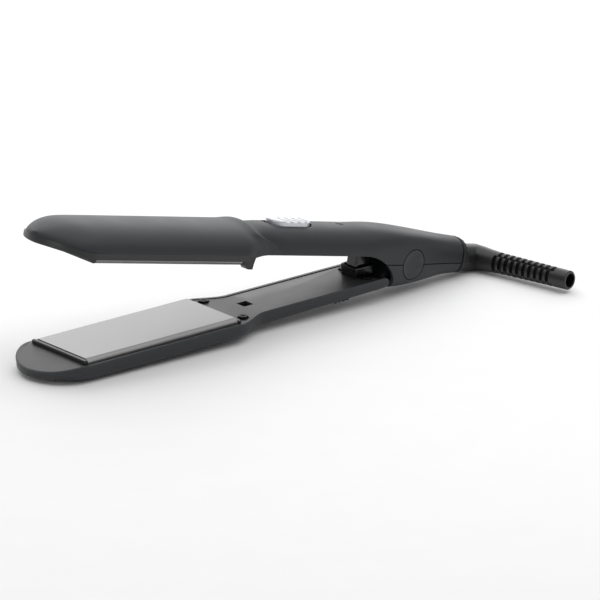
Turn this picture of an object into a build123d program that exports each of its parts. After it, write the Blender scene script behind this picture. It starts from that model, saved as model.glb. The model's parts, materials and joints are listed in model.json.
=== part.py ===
"""Hair straightener: two hinged arms with heated plates, a tail with the electronics' cord swivel.

The row frame has its origin on the flat underside of the lower arm, under the middle of the plates.
+X runs from the nose to the tail, +Z is up and +Y is to the left of a user looking along +X.
Every piece is drawn with the arms closed and with z = 0 in the plane where the plates meet (the
mating plane).  The upper arm is then opened about the hinge, and everything is lifted to the frame.
"""
from math import copysign, cos, pi, radians, sin, sqrt
import os

from build123d import *

# ---- Overall driving dimensions (mm, degrees) ----
plate_length = 90.0        # heated plate, along X
plate_width = 40.0         # heated plate, along Y
plate_height = 12.0        # underside of the lower arm to the mating plane
nose_length = 20.0         # rounded end in front of the plates
shoulder_length = 21.0     # S-shaped narrowing from head to handle
handle_length = 78.5       # straight grip behind the shoulder
hinge_setback = 16.0       # end of the lower grip to the hinge axis
tail_length = 36.5         # hinge axis to the rear end of the tail
handle_half = 15.2         # half width of the grip
open_angle = 12.8          # opening between the arms at rest

# ---- Walls and clearances ----
wall = 1.6                 # casing wall
head_margin = 2.8          # casing outside the plate's edge, each side
slip = 0.2                 # gap of a cover or frame that drops into a casing
plate_gap = 0.2            # what is left between the plates when closed
sliding_gap = 0.45         # gap round a moving button

# ---- Stations along X ----
plate_end = plate_length / 2
nose_start = -plate_end - 1.4
shoulder_front = plate_end
shoulder_rear = shoulder_front + shoulder_length
arm_end = shoulder_rear + handle_length
hinge_x = arm_end + hinge_setback
tail_end = hinge_x + tail_length
head_half = plate_width / 2 + head_margin
rise_start = 10.0          # the lower arm's underside starts to rise here

# ---- Casing cross-sections, heights from the mating plane; the upper one is a superellipse ----
section_points = 16
upper_power = 2.4          # 2 is an ellipse, larger is boxier
lower_rim = -2.5           # rim of the lower casing and top of its cover
edge_radius = 5.0          # rounding of the lower casing's bottom edges
floor_thickness = 1.8
end_corner = 4.0           # rounding at the top of the lower grip's end
grip_rise = 3.8            # rise of the lower arm's underside up to the lower grip's end
upper_centre = 3.0         # height of the upper casing's widest line
tail_centre = 2.45
head_rim = 5.0             # lower edge of the upper casing along the head
grip_rim = 4.2             # the same along the grip
crown_tip = 10.5
crown_head = 17.4
crown_shoulder = 17.1
crown_tail = 16.9          # above the throat
crown_end = 10.9           # towards which the tail falls
tail_end_half = 9.4
nose_overhang = 2.0        # the upper nose reaches this much further than the lower one

# ---- Heating stacks ----
plate_thickness = 3.0
plate_chamfer = 1.7
plate_step = 2.0           # width of the chamfer seen from above
frame_gap = 0.9            # carrier's rim below the mating plane
deck_level = 3.5           # carrier's flat deck below the mating plane
lower_deck = 1.5           # deck thickness
upper_deck = 2.6
carrier_bar = 3.3          # carrier in front of the plate
heater_length = 62.0
heater_width = 14.0
heater_thickness = 2.4
clamp_sheet = 0.8
clamp_overhang = 2.0
fuse_radius = 1.9
fuse_length = 11.0
lead_radius = 0.8
lead_spread = 5.0          # leads to each side of the middle
lower_lead_level = 6.4     # leads below the mating plane
upper_lead_level = 7.4

# ---- Covers, peg, spring ----
cover_thickness = 1.8
peg_hole_length = 5.8
peg_half = 2.6
peg_reach = 6.0            # peg's tip below the mating plane
peg_gap = 0.5
socket_length = 12.4
socket_half = 5.6
socket_wall = 1.2
socket_height = 2.5        # above the mating plane
socket_from_end = 14.5     # front of the socket, ahead of the lower grip's end
post_gap = 0.4
post_reach = 4.0
spring_radius = 3.0
spring_wire = 0.8
spring_turns = 4
spring_height = 4.6
screw_radius = 1.3
screw_head = 2.5
screw_head_height = 1.0
plate_screw_y = 14.8
plate_screw_setback = 7.5
rear_screw_y = 8.6
rear_screw_from_end = 9.7
boss_wall = 1.6
boss_root = 0.25           # how far a boss is sunk into the floor

# ---- Hinge ----
pin_radius = 2.0
bush_radius = 4.5
bush_bore_gap = 0.02
knuckle_radius = 4.8
knuckle_half = 7.2
neck_drop = 5.2            # underside of the knuckle's neck below the mating plane
knuckle_bore_gap = 0.06
hinge_boss_radius = 9.2
hinge_boss_inner = 10.6    # inner face of the tail's hinge bosses
cap_radius = 7.5
cap_seat = 13.0            # distance of the cap's inner face from the middle
cap_face = 14.7
cap_gap = 0.15

# ---- Switch, lamp, board ----
switch_length = 24.5
switch_half = 6.0
switch_front = shoulder_rear + 8.5
switch_travel = 2.5
switch_proud = 2.0
switch_foot = 1.0
ridge_count = 4
lamp_radius = 2.1
lamp_x = shoulder_rear + 54.0
board_thickness = 1.6
board_half = 10.5
board_lift = 0.8

# ---- Lock button under the lower grip ----
lock_length = 10.0
lock_half = 9.0
lock_from_end = 30.0       # front of the lock button, ahead of the lower grip's end
lock_travel = 4.0
lock_neck_half = 3.6
lock_proud = 1.5           # thickness of the thumb plate
lock_clear = 0.1           # thumb plate below the casing
keeper_overhang = 1.0      # inner keeper beyond the thumb plate, front and rear
tooth_count = 3
lock_floor = 0.5           # what is left of the thumb plate between its teeth

# ---- Cord swivel ----
collar_length = 5.0
collar_half_width = 8.9
collar_half_height = 8.7
collar_centre_z = 2.2      # middle of the collar's front, above the mating plane
collar_far_z = 1.4         # the same at its rear end
collar_taper = 0.85
stem_radius = 4.6
stem_gap = 0.08
flange_radius = 5.2
elbow_radius = 6.8
elbow_from_tail = 15.0     # rear end of the tail to the centre of the elbow
elbow_turn = 78.5          # between the tail's axis and the relief
elbow_roll = 2.6           # the relief's turn about the tail's axis
relief_length = 59.0
relief_radius = 5.25
relief_end_radius = 4.75
relief_neck = 9.0          # smooth stretch after the elbow
relief_band = 8.0          # plain band at the free end
cord_bore = 3.5
cord_bore_depth = 7.0
slot_count = 10
slot_width = 2.3
slot_core = 2.9            # slots stop this far from the relief's axis
swivel_axis_z = 0.8        # height of the swivel's axis above the mating plane


# ---- Shape helpers ----
def blend(x, x0, x1, a, b):
    """Smooth change from a at x0 to b at x1."""
    t = min(max((x - x0) / (x1 - x0), 0.0), 1.0)
    return a + (b - a) * t * t * (3 - 2 * t)


def nose_round(x, inset, overhang):
    """1 behind the nose, falling to 0 at its tip as an ellipse does."""
    u = min(max((nose_start - x) / (nose_length + overhang - inset), 0.0), 1.0)
    return sqrt(1 - u * u)


def half_width(x, inset=0.0, overhang=0.0):
    """Half width of an arm's casing, moved inwards by inset."""
    grip = blend(x, shoulder_front, shoulder_rear, head_half, handle_half)
    grip = blend(x, arm_end, tail_end, grip, tail_end_half)
    return (grip - inset) * nose_round(x, inset, overhang)


def crown(x, inset=0.0):
    """Height of the upper casing's crown above the mating plane."""
    grip = blend(x, shoulder_front, shoulder_rear, crown_head, crown_shoulder)
    grip = blend(x, shoulder_rear, arm_end, grip, crown_tail)
    grip = blend(x, arm_end - 10, tail_end + 14, grip, crown_end)
    rounding = nose_round(x, inset, nose_overhang) ** 2
    return crown_tip * (1 - rounding) + grip * rounding


def centre_line(x):
    """Height of the upper casing's widest line."""
    return blend(x, arm_end - 20, hinge_x, upper_centre, tail_centre)


def ring(x, half_y, centre_z, half_z):
    """A closed superellipse across X, with its seam at the bottom."""
    power = upper_power
    points = []
    for k in range(section_points):
        angle = -pi / 2 + 2 * pi * k / section_points
        y = half_y * copysign(abs(cos(angle)) ** (2 / power), cos(angle))
        z = half_z * copysign(abs(sin(angle)) ** (2 / power), sin(angle))
        points.append((x, y, centre_z + z))
    return Wire(Edge.make_spline(points, periodic=True))


def nose_stations(inset, overhang):
    """Stations that follow the rounded nose."""
    reach = nose_length + overhang - inset
    return [nose_start - u * reach for u in (0.98, 0.88, 0.63, 0.3, 0.0)]


def upper_blank(inset=0.0, beyond=0.0):
    """The upper arm's outer form, from the nose to the rear end of the tail."""
    shoulder = [shoulder_front + f * shoulder_length for f in (0.15, 0.5, 0.85, 1.1)]
    grip = [shoulder_rear + f * handle_length for f in (0.35, 0.65, 0.95)]
    tail = [arm_end + f * (tail_end - arm_end) for f in (0.2, 0.45, 0.7, 0.9)]
    stations = nose_stations(inset, nose_overhang) + [-0.4 * plate_end, 0.3 * plate_end, 0.9 * plate_end]
    rings = []
    for x in stations + shoulder + grip + tail + [tail_end + beyond]:
        middle = centre_line(x)
        rings.append(ring(x, half_width(x, inset, nose_overhang), middle,
                          crown(x, inset) - middle - inset))
    return Solid.make_loft(rings)


def lower_bottom(x):
    """Height of the lower casing's underside: flat under the head, rising along the grip."""
    return -plate_height + grip_rise * max(0.0, x - rise_start) / (arm_end - rise_start)


def block(x0, x1, half_y, z0, z1):
    """A box centred on the arm's middle plane."""
    return Pos((x0 + x1) / 2, 0, (z0 + z1) / 2) * Box(x1 - x0, 2 * half_y, z1 - z0)


def post(x, y, radius, z0, z1):
    """An upright cylinder."""
    return Pos(x, y, (z0 + z1) / 2) * Cylinder(radius, z1 - z0)


def cross_pin(x, z, radius, y0, y1):
    """A cylinder along Y."""
    return Pos(x, (y0 + y1) / 2, z) * Rot(X=90) * Cylinder(radius, y1 - y0)


def rod(x0, x1, y, z, radius):
    """A cylinder along X."""
    return Pos((x0 + x1) / 2, y, z) * Rot(Y=90) * Cylinder(radius, x1 - x0)


def slot_block(x0, x1, half_y, z0, z1):
    """An upright block with half-round ends."""
    length = x1 - x0 - 2 * half_y
    outline = SlotCenterToCenter(length, 2 * half_y) if length > 0.01 else Circle(half_y)
    return Pos((x0 + x1) / 2, 0, z0) * extrude(outline, z1 - z0)


def slab(outline, z0, z1):
    """A plan outline drawn at z = 0, extruded between two heights."""
    return Pos(0, 0, z0) * extrude(outline, z1 - z0)


def side_slab(outline, half_y):
    """A side outline in the XZ plane, extruded to both sides."""
    return extrude(outline, half_y, both=True)


def plan(x0, x1, inset):
    """Plan outline of an arm moved inwards by inset, between two stations."""
    head = head_half - inset
    grip = handle_half - inset
    end = arm_end + hinge_setback
    edges = [EllipticalCenterArc((nose_start, 0), nose_length - inset, head, start_angle=90, arc_size=180)]
    for side in (1, -1):
        edges.append(Line((nose_start, side * head), (shoulder_front, side * head)))
        edges.append(Spline((shoulder_front, side * head), (shoulder_rear, side * grip),
                            tangents=((1, 0), (1, 0))))
        edges.append(Line((shoulder_rear, side * grip), (end, side * grip)))
    edges.append(Line((end, grip), (end, -grip)))
    strip = Pos((x0 + x1) / 2, 0) * Rectangle(x1 - x0, 4 * head_half)
    return make_face(edges) & strip


def side_polygon(*points):
    """A closed polygon in the XZ plane."""
    return make_face(Polyline(*[(x, 0, z) for x, z in points], close=True))


def both_sides(make, y):
    """The same feature at +y and -y."""
    return make(y) + make(-y)


# ---- Lower arm ----
peg_x = shoulder_rear - 3.1
socket_front = arm_end - socket_from_end
socket_depth = -(lower_bottom(socket_front + socket_length) + floor_thickness + slip)
plate_screw_x = plate_end + plate_screw_setback
rear_screw_x = arm_end - rear_screw_from_end
cover_under = lower_rim - cover_thickness
rear_screw_depth = lower_rim - lower_bottom(rear_screw_x) - floor_thickness - slip
lock_front = arm_end - lock_from_end
carrier_front = -plate_end - carrier_bar
carrier_rear = plate_end + 2.0


def screw(x, y, seat_z, length):
    """A pan-head screw standing on a seat, its thread below."""
    head = post(x, y, screw_head, seat_z, seat_z + screw_head_height)
    cross = Box(0.6, 3.2, 1.2) + Box(3.2, 0.6, 1.2)
    head = fillet(head.edges().group_by(Axis.Z)[-1], 0.5)
    return head - Pos(x, y, seat_z + screw_head_height) * cross + post(x, y, screw_radius, seat_z - length, seat_z)


def screw_bosses(x, y, z0, z1):
    """A pair of hollow posts that take a pair of screws."""
    def boss(side):
        return post(x, side, screw_radius + boss_wall, z0, z1)
    return both_sides(boss, y)


def screw_holes(x, y, z0, z1):
    """A pair of holes for a pair of screws."""
    def hole(side):
        return post(x, side, screw_radius, z0, z1)
    return both_sides(hole, y)


def lower_form(inset, floor, radius, top):
    """The lower arm's outer form, moved inwards by inset and upwards by floor."""
    end = arm_end - inset
    body = slab(plan(nose_start - nose_length, end, inset), -plate_height + floor, top)
    wedge = side_polygon((rise_start, -2 * plate_height), (rise_start, lower_bottom(rise_start) + floor),
                         (arm_end, lower_bottom(arm_end) + floor), (arm_end, -2 * plate_height))
    body -= side_slab(wedge, 2 * head_half)
    under = [face for face in body.faces() if face.normal_at().Z < -0.9]
    rounded = [edge for face in under for edge in face.edges()
               if edge.geom_type != GeomType.LINE or abs((edge % 0.5).Y) < 0.9]
    return fillet(rounded, radius)


def lower_casing():
    """Tray-shaped casing with the hinge knuckle at its rear end."""
    shell = lower_form(0, 0, edge_radius, lower_rim)
    shell -= lower_form(wall, floor_thickness, edge_radius - wall, lower_rim + 1)
    for x, y in ((plate_screw_x, plate_screw_y), (rear_screw_x, rear_screw_y)):
        shell += screw_bosses(x, y, lower_bottom(x) + floor_thickness - boss_root, cover_under)
    corner = end_corner
    rounding = block(arm_end - corner, arm_end + 1, 2 * handle_half, lower_rim - corner, lower_rim + 1)
    rounding -= cross_pin(arm_end - corner, lower_rim - corner, corner, -2 * handle_half, 2 * handle_half)
    shell -= rounding
    neck = side_polygon((arm_end - wall, -neck_drop), (hinge_x, -knuckle_radius), (hinge_x, knuckle_radius),
                        (arm_end - wall, lower_rim - corner * 0.6))
    knuckle = side_slab(neck, knuckle_half)
    knuckle += cross_pin(hinge_x, 0, knuckle_radius, -knuckle_half, knuckle_half)
    shell = shell + knuckle
    shell -= cross_pin(hinge_x, 0, pin_radius + knuckle_bore_gap, -2 * knuckle_half, 2 * knuckle_half)
    for x, y in ((plate_screw_x, plate_screw_y), (rear_screw_x, rear_screw_y)):
        shell -= screw_holes(x, y, lower_bottom(x) + floor_thickness, cover_under + 1)
    slot_end = lock_front + lock_length + lock_travel
    shell -= block(lock_front + 1.5 - sliding_gap, slot_end - 1.5 + sliding_gap,
                   lock_neck_half + sliding_gap, -2 * plate_height, cover_under)
    return shell


def lower_inner_cover():
    """Flat cover of the lower grip, with the peg's hole and the spring socket's window."""
    outline = plan(carrier_rear + slip, arm_end - wall - slip - 4.0, wall + slip)
    cover = slab(outline, cover_under, lower_rim)
    hole_x = peg_x + peg_hole_length / 2
    cover -= block(peg_x, peg_x + peg_hole_length, peg_half + peg_gap, cover_under - 1, lower_rim + 1)
    rib_x = hole_x + peg_hole_length
    cover += block(rib_x, rib_x + 1.2, 8.0, cover_under - 1.2, cover_under)
    cover -= block(socket_front - slip, socket_front + socket_length + slip, socket_half + slip,
                   cover_under - 1, lower_rim + 1)
    cover -= screw_holes(plate_screw_x, plate_screw_y, cover_under - 1, lower_rim + 1)
    cover -= screw_holes(rear_screw_x, rear_screw_y, cover_under - 1, lower_rim + 1)
    return cover


def spring_socket():
    """Rectangular cup that guides the upper arm's spring post."""
    rear = socket_front + socket_length
    cup = block(socket_front, rear, socket_half, -socket_depth, socket_height)
    cup = fillet(cup.edges().filter_by(Axis.Z), 1.0)
    return cup - block(socket_front + socket_wall, rear - socket_wall, socket_half - socket_wall,
                       -socket_depth + socket_wall, socket_height + 1)


def carrier(deck, inset):
    """Frame that holds a plate: a deck, a raised rim round the plate and a window for the heater."""
    flat = slab(plan(nose_start - nose_length, carrier_rear, inset), -deck_level - deck, -deck_level)
    half = head_half - wall - slip
    rim = block(carrier_front, carrier_rear, half, -deck_level, -frame_gap)
    rim = fillet(rim.edges().filter_by(Axis.Z), 2.0)
    pocket = block(-plate_end - slip, plate_end + slip, plate_width / 2 + slip,
                   -plate_thickness - 0.05, 1.0)
    window = block(-heater_length / 2 - 2, heater_length / 2 + 2, heater_width / 2 + 1, -3 * deck_level, 0)
    return flat + rim - pocket - window


def plate():
    """Heated plate with its sloping working edges, under the mating plane."""
    face = block(-plate_end, plate_end, plate_width / 2, -plate_thickness, 0)
    long_edges = face.edges().filter_by(Axis.X).group_by(Axis.Z)[-1]
    face = chamfer(long_edges, plate_chamfer, plate_step)
    seat = block(-heater_length / 2, heater_length / 2, heater_width / 2 + 0.8,
                 -plate_thickness - 0.9, -plate_thickness)
    channel = block(-heater_length / 2 - 1, heater_length / 2 + 1, heater_width / 2,
                    -plate_thickness - 0.9, -plate_thickness)
    return face + (seat - channel)


def heater():
    """Ceramic heating strip against the plate's back."""
    return block(-heater_length / 2, heater_length / 2, heater_width / 2,
                 -plate_thickness - heater_thickness, -plate_thickness)


def heater_clamp():
    """Sheet-metal clamp that presses the heater onto the plate."""
    top = -plate_thickness - heater_thickness
    half_long = heater_length / 2 - 4
    sheet = block(-half_long, half_long, heater_width / 2 - 1, top - clamp_sheet, top)
    for x in (-half_long / 2, half_long / 2):
        sheet -= post(x, 0, 2.0, top - 2 * clamp_sheet, top + 1)
    return sheet


def heater_leads(end_x, spread, level):
    """A pair of insulated leads from the heater's rear end, running back at one level."""
    start = heater_length / 2 - 3
    back = -plate_thickness - heater_thickness
    leads = []
    for y in (spread, -spread):
        riser = post(start, y, lead_radius, level, back)
        bend = Pos(start, y, level) * Sphere(lead_radius)
        leads.append(riser + bend + rod(start, end_x, y, level, lead_radius))
    return leads


def lock_slider():
    """Thumb button that locks the arms together, with cross teeth underneath."""
    thumb_top = lower_bottom(lock_front) - lock_clear
    rear = lock_front + lock_length
    plate_low = lower_bottom(rear + keeper_overhang + lock_travel) + floor_thickness + slip
    thumb = block(lock_front, rear, lock_half, thumb_top - lock_proud, thumb_top)
    thumb = fillet(thumb.edges().filter_by(Axis.Z), 2.0)
    pitch = lock_length / (tooth_count + 0.5)
    for k in range(tooth_count):
        groove_x = lock_front + (k + 0.75) * pitch
        thumb -= block(groove_x, groove_x + pitch * 0.35, lock_half + 1, -plate_height,
                       thumb_top - lock_floor)
    neck = block(lock_front + 1.5, rear - 1.5, lock_neck_half, thumb_top, plate_low)
    keeper = block(lock_front - keeper_overhang, rear + keeper_overhang, lock_neck_half + 2.2,
                   plate_low, plate_low + 1.0)
    return thumb + neck + keeper


def opening_spring():
    """Coil spring between the socket's floor and the post."""
    low = -socket_depth + socket_wall + spring_wire / 2
    path = Helix(spring_height / spring_turns, spring_height, spring_radius)
    wire = sweep(Plane(origin=path @ 0, z_dir=path % 0) * Circle(spring_wire / 2), path=path, is_frenet=True)
    return Pos(socket_front + socket_length / 2, 0, low) * wire


# ---- Upper arm ----
throat_bottom_x = arm_end + 6.0
liner_top = grip_rim + 0.2 + cover_thickness


def throat_profile():
    """Everything in front of the throat and below the upper arm's lower edge."""
    left = nose_start - 2 * nose_length
    low = -3 * plate_height
    start = (arm_end - 17.0, 0, grip_rim)
    end = (throat_bottom_x, 0, -plate_height - 3)
    curve = Spline(start, (arm_end + 0.9, 0, -1.9), (arm_end + 4.2, 0, -6.1), end,
                   tangents=((1, 0, 0), (0, 0, -1)))
    straight = Polyline(end, (throat_bottom_x, 0, low), (left, 0, low), (left, 0, head_rim),
                        (plate_end + 2.0, 0, head_rim), (plate_end + 6.0, 0, grip_rim), start)
    return side_slab(make_face([curve] + list(straight.edges())), 3 * head_half)


def upper_shell():
    """Both halves of the upper casing and tail as one hollow form with hinge bosses."""
    outer = upper_blank()
    hollow = outer - upper_blank(wall, 2.0)
    for side in (1, -1):
        boss = cross_pin(hinge_x, 0, hinge_boss_radius, *sorted((side * hinge_boss_inner, side * 2 * cap_face)))
        hollow += (Part() + boss) & outer
    lamp_tube = (Part() + post(lamp_x, 0, lamp_radius + 1.2, crown_tail - 3.0, 2 * crown_head)) & outer
    hollow = hollow + lamp_tube - throat_profile()
    for side in (1, -1):
        seat = cross_pin(hinge_x, 0, cap_radius + cap_gap, *sorted((side * cap_seat, side * 3 * cap_face)))
        bush_hole = cross_pin(hinge_x, 0, bush_radius, *sorted((side * 5.0, side * 3 * cap_face)))
        hollow = hollow - seat - bush_hole
    return hollow


def upper_casing(shell):
    """Long upper casing: crown of the head, grip and upper half of the tail."""
    low = block(nose_start - 2 * nose_length, tail_end + 5, 3 * head_half, -4 * plate_height, 0)
    slot = slot_block(switch_front - switch_travel - sliding_gap, switch_front + switch_length + 1.3,
                      switch_half + sliding_gap, upper_centre + 4, 2 * crown_head)
    lamp_hole = post(lamp_x, 0, lamp_radius + 0.05, upper_centre, 2 * crown_head)
    return shell - low - slot - lamp_hole


tail_screw_x = hinge_x + 20.0
tail_screw_y = 4.6


def tail_lower_shell(shell):
    """Lower half of the tail, screwed up into the casing."""
    high = block(nose_start - 2 * nose_length, tail_end + 5, 3 * head_half, 0, 4 * plate_height)
    lower = shell - high
    lower -= screw_holes(tail_screw_x, tail_screw_y, -2 * plate_height, -2)
    return lower


def tail_screws():
    """Two screws through the underside of the tail."""
    screws = []
    for side in (1, -1):
        shank = post(tail_screw_x, side * tail_screw_y, screw_radius, -5.4, 4.0)
        head = post(tail_screw_x, side * tail_screw_y, screw_radius + 0.9, -4.2, -3.2)
        screws.append(shank + head)
    return screws


def upper_liner():
    """Flat cover under the upper grip, with standoffs for the board."""
    low = grip_rim + 0.2
    cover = slab(plan(carrier_rear + slip, arm_end - 3.0, wall + 4 * slip), low, liner_top)
    for x in (shoulder_rear + 5.0, lamp_x + 3.0):
        def standoff(y, x=x):
            return post(x, y, 1.6, liner_top, liner_top + board_lift)
        cover += both_sides(standoff, board_half - 3.0)
    return cover


def locating_peg():
    """Peg under the upper grip that lines the arms up when they close."""
    top = grip_rim + 0.2
    front = peg_x + peg_gap
    rear = peg_x + peg_hole_length - peg_gap - 0.2
    outline = side_polygon((front - 2.9, top), (front, -1.2), (front, -peg_reach + 1.4),
                           (front + 1.2, -peg_reach), (rear - 0.5, -peg_reach),
                           (rear, lower_rim), (rear + 1.8, top))
    return side_slab(outline, peg_half)


def spring_post():
    """Rectangular post that slides in the spring socket."""
    inner_front = socket_front + socket_wall
    inner_rear = socket_front + socket_length - socket_wall
    body = block(inner_front + 0.9, inner_rear - post_gap, socket_half - socket_wall - post_gap,
                 -post_reach, grip_rim + 0.2)
    body = fillet(body.edges().filter_by(Axis.Z), 0.8)
    return body - post((inner_front + inner_rear) / 2, 0, spring_radius - spring_wire, -post_reach - 1, -1.0)


def thermal_fuse():
    """Thermal cut-off beside the upper heater's clamp."""
    level = -plate_thickness - heater_thickness - clamp_sheet - fuse_radius
    body = rod(-fuse_length / 2, fuse_length / 2, 0, level, fuse_radius)
    return body + rod(-fuse_length, fuse_length, 0, level, 0.4)


def control_board():
    """Circuit board on the liner's standoffs."""
    low = liner_top + board_lift
    return block(shoulder_rear + 1.5, lamp_x + 6.0, board_half, low, low + board_thickness)


board_top = liner_top + board_lift + board_thickness
switch_foot_level = board_top + 2.9


def switch_body():
    """Slide switch soldered to the board."""
    middle = switch_front + switch_length / 2
    body = block(middle - 7, middle + 7, 4.5, board_top, switch_foot_level - 0.9)
    return body + block(middle - 1.5, middle + 1.5, 1.0, switch_foot_level - 0.9, switch_foot_level - 0.2)


def switch_slider():
    """Ribbed sliding button with a wide foot under the casing."""
    rear = switch_front + switch_length
    crest = crown(switch_front + switch_length / 2) + switch_proud
    button = slot_block(switch_front, rear, switch_half, switch_foot_level, crest)
    button = fillet(button.edges().group_by(Axis.Z)[-1], 1.2)
    pitch = (switch_length - 2 * switch_half) / (ridge_count - 1)
    for k in range(ridge_count):
        button -= cross_pin(switch_front + switch_half + k * pitch, crest + 0.6, 1.3,
                            -2 * switch_half, 2 * switch_half)
    foot = block(switch_front + 1.0, rear - 1.0, switch_half + 1.6,
                 switch_foot_level, switch_foot_level + switch_foot)
    return button + foot


def indicator_lens():
    """Lamp window in the crown."""
    top = crown(lamp_x) + 0.2
    lens = post(lamp_x, 0, lamp_radius, crown_tail - 3.0, top)
    return fillet(lens.edges().group_by(Axis.Z)[-1], 0.5)


def indicator_led():
    """Light-emitting diode under the lens."""
    body = post(lamp_x, 0, 1.5, board_top, crown_tail - 3.2)
    return body + post(lamp_x, 0, 1.9, board_top, board_top + 0.8)


def cord_collar():
    """Ring that closes the rear end of the tail round the swivel's stem."""
    low = Plane(origin=(tail_end, 0, collar_centre_z), x_dir=(0, 1, 0), z_dir=(1, 0, 0))
    far = Plane(origin=(tail_end + collar_length, 0, collar_far_z), x_dir=(0, 1, 0), z_dir=(1, 0, 0))
    sections = [low * Ellipse(collar_half_width, collar_half_height),
                far * Ellipse(collar_half_width * collar_taper, collar_half_height * collar_taper)]
    body = loft(sections)
    return body - rod(tail_end - 5, tail_end + 2 * collar_length, 0, swivel_axis_z, stem_radius + stem_gap)


def swivel_stem():
    """Hard stem that turns in the collar, held by its flange inside the tail."""
    stem = rod(tail_end - 3.2, tail_end + collar_length + 4.0, 0, swivel_axis_z, stem_radius)
    stem += rod(tail_end - 2.7, tail_end - 0.4, 0, swivel_axis_z, flange_radius)
    return stem + rod(tail_end - 9.0, tail_end - 3.0, 0, swivel_axis_z, 2.6)


def slip_rings():
    """Brass contact rings on the stem's thin end."""
    rings = []
    for x in (tail_end - 8.0, tail_end - 5.0):
        rings.append(rod(x, x + 1.5, 0, swivel_axis_z, 3.4) - rod(x - 1, x + 3, 0, swivel_axis_z, 2.6))
    return rings


def slip_contact():
    """Contact carrier fixed in the tail, whose fingers rub on the slip rings."""
    carrier_x = tail_end - 12.5
    body = block(carrier_x, carrier_x + 2.5, 5.0, swivel_axis_z - 3.0, swivel_axis_z + 3.0)
    fingers = block(carrier_x + 2.0, carrier_x + 9.0, 1.0, swivel_axis_z + 3.6, swivel_axis_z + 4.0)
    link = block(carrier_x + 1.0, carrier_x + 2.5, 1.0, swivel_axis_z + 3.0, swivel_axis_z + 4.0)
    return body + link + fingers


relief_direction = Vector(cos(radians(elbow_turn)),
                          -sin(radians(elbow_turn)) * cos(radians(elbow_roll)),
                          sin(radians(elbow_turn)) * sin(radians(elbow_roll)))
elbow_centre = Vector(tail_end + elbow_from_tail, 0, swivel_axis_z)


def cord_relief():
    """Rubber elbow and slotted strain relief, moulded in one piece on the stem."""
    sleeve = Pos(0, 0, relief_length / 2) * Cone(relief_radius, relief_end_radius, relief_length)
    neck = Pos(0, 0, relief_neck / 2) * Cone(elbow_radius * 0.97, relief_radius - 0.05, relief_neck)
    sleeve += neck
    sleeve = chamfer(sleeve.edges().group_by(Axis.Z)[-1], 0.5)
    pitch = (relief_length - relief_neck - relief_band) / slot_count
    for row in range(4):
        shift = 0.25 if row % 2 else 0.75
        for k in range(slot_count):
            middle = relief_neck + (k + shift) * pitch
            cutter = Pos(slot_core + 5, 0, middle) * Box(10, 2 * relief_radius - 3.0, slot_width)
            sleeve -= Rot(Z=90 * row) * cutter
    sleeve -= Pos(0, 0, relief_length - cord_bore_depth / 2) * Cylinder(cord_bore, cord_bore_depth)
    sleeve = Plane(origin=elbow_centre, z_dir=relief_direction) * sleeve
    front = tail_end + collar_length + 0.35
    boss = rod(front, elbow_centre.X, 0, swivel_axis_z, elbow_radius)
    boss += Pos(*elbow_centre) * Sphere(elbow_radius)
    return boss + sleeve - rod(front - 1, front + 3.65, 0, swivel_axis_z, stem_radius)


def hinge_pin():
    """Steel pin through both arms."""
    return cross_pin(hinge_x, 0, pin_radius, -cap_seat + 0.3, cap_seat - 0.3)


def hinge_bush(side):
    """Bush in one side of the tail."""
    body = cross_pin(hinge_x, 0, bush_radius, *sorted((side * (knuckle_half + 0.4), side * (cap_seat - 0.2))))
    return body - cross_pin(hinge_x, 0, pin_radius + bush_bore_gap, -2 * cap_seat, 2 * cap_seat)


def hinge_cap(side):
    """Round cover over one end of the hinge."""
    disc = cross_pin(hinge_x, 0, cap_radius, *sorted((side * cap_seat, side * cap_face)))
    outer_edge = disc.edges().group_by(Axis.Y)[-1 if side > 0 else 0]
    return fillet(outer_edge, 0.4)


def mirrored(pieces):
    """The same piece above the mating plane, clear of it by the plate gap."""
    return [Pos(0, 0, plate_gap) * mirror(piece, Plane.XY) for piece in pieces]


def lead_to_board():
    """Upper heater's leads up to the board."""
    return mirrored(heater_leads(shoulder_rear + 1.4, lead_spread, -upper_lead_level))


hinge_axis = Axis((hinge_x, 0, 0), (0, 1, 0))


def place(pieces, angle):
    """Turn closed-frame pieces about the hinge and lift them to the row frame."""
    solids = []
    for piece in pieces:
        for solid in piece.solids():
            solids.append(solid.rotate(hinge_axis, angle).moved(Location((0, 0, plate_height))))
    return solids


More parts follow.
